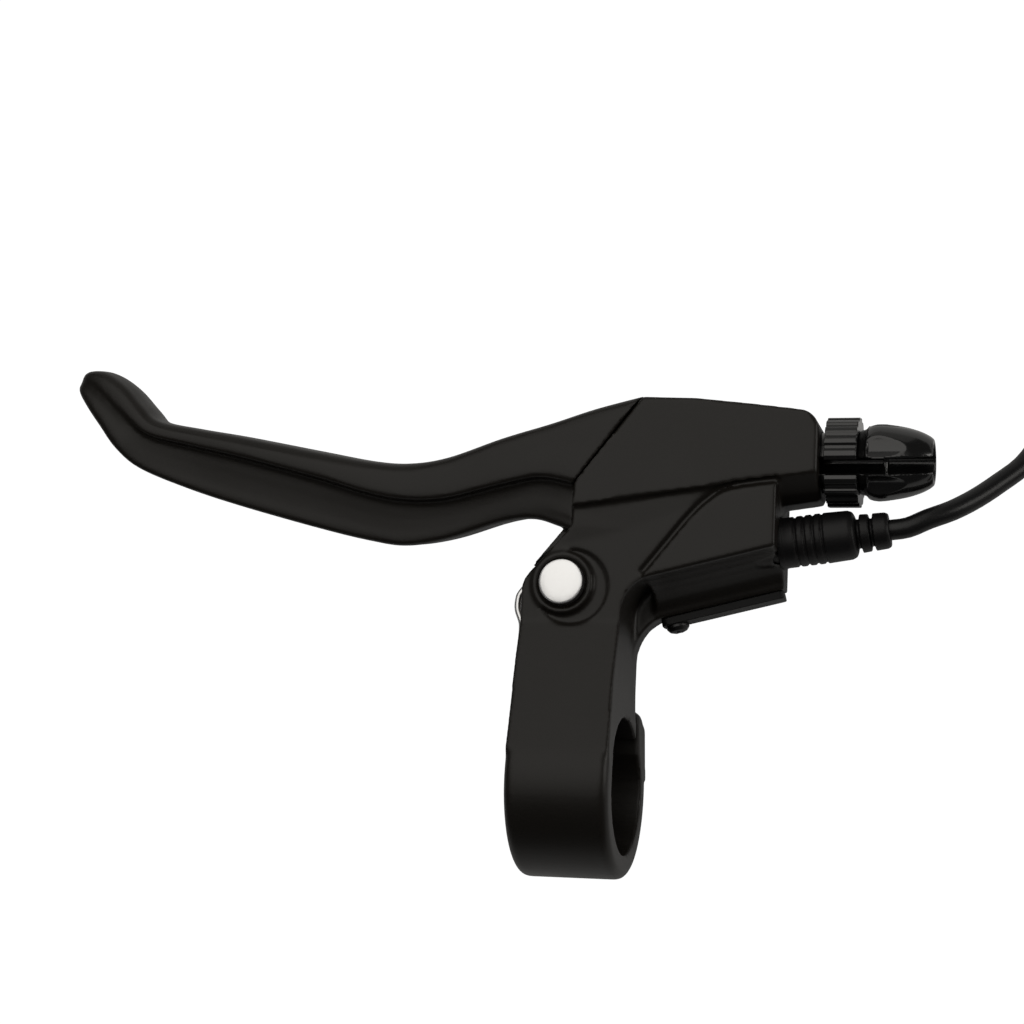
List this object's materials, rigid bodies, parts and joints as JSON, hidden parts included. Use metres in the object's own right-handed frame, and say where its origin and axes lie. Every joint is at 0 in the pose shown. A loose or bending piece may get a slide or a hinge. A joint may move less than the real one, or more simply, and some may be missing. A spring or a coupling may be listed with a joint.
{
  "type": "bicycle brake lever with cut-off switch",
  "caption": "Short flat-bar brake lever with a split handlebar clamp, curved blade, slotted cable adjuster, and a switch housing with a coiled lead and plug.",
  "frame": {"origin": "centre of the handlebar clamp's bore, in the middle of its width", "axes": "+X along the handlebar from the fingers towards the cable end, +Y square to the bar towards the blade, +Z along the pivot pin towards the pin's head"},
  "size_m": [0.2126, 0.1039, 0.0315],
  "materials": {
    "bracket_paint": "satin black",
    "blade_paint": "satin black",
    "black_steel": "black oxide",
    "bright_steel": "zinc plated",
    "spring_steel": "drawn",
    "bronze": "sintered",
    "gloss_black": "gloss",
    "sensor_resin": "matte",
    "cover_plastic": "fine grain",
    "boot_rubber": "satin",
    "cable_jacket": "satin",
    "tie_plastic": "matte",
    "ring_rubber": "matte",
    "contact_brass": "plated"
  },
  "bodies": {
    "bracket": {"bracket": "bracket_paint", "clamp_bolt": "black_steel", "bolt_washer": "bright_steel", "pivot_pin": "bright_steel", "pivot_washers": "bright_steel", "pivot_clip": "black_steel", "return_spring": "spring_steel", "reed_sensor": "sensor_resin", "switch_cover": "cover_plastic", "cover_screw": "black_steel", "switch_boot": "boot_rubber", "switch_cable": "cable_jacket", "cable_coil": "cable_jacket", "cable_tie": "tie_plastic", "connector_body": "cover_plastic", "connector_ring": "ring_rubber", "connector_pins": "contact_brass"},
    "lever": {"brake_blade": "blade_paint", "pivot_bush": "bronze", "blade_magnet": "bright_steel"},
    "locknut": {"adjuster_locknut": "gloss_black"},
    "adjuster": {"barrel_adjuster": "gloss_black"}
  },
  "joints": [
    {"name": "lever_pull", "type": "hinge", "parent": "bracket", "child": "lever", "pos_m": [-0.002, 0.0322, 0], "axis": [0, 0, 1], "range_deg": [0, 25], "stiffness_Nm_per_rad": 0.2, "springref_deg": -20.05, "deforming": ["return_spring"]},
    {"name": "adjuster_travel", "type": "slide", "parent": "bracket", "child": "locknut", "axis": [1, 0, 0], "range_m": [0, 0.004]},
    {"name": "adjuster_turn", "type": "hinge", "parent": "locknut", "child": "adjuster", "pos_m": [0.05, 0.0535, 0], "axis": [1, 0, 0], "range_deg": [0, 1440]}
  ],
  "couplings": [
    {"joint": "adjuster_turn", "follows": "adjuster_travel", "rad_per_m": 6283.2}
  ]
}
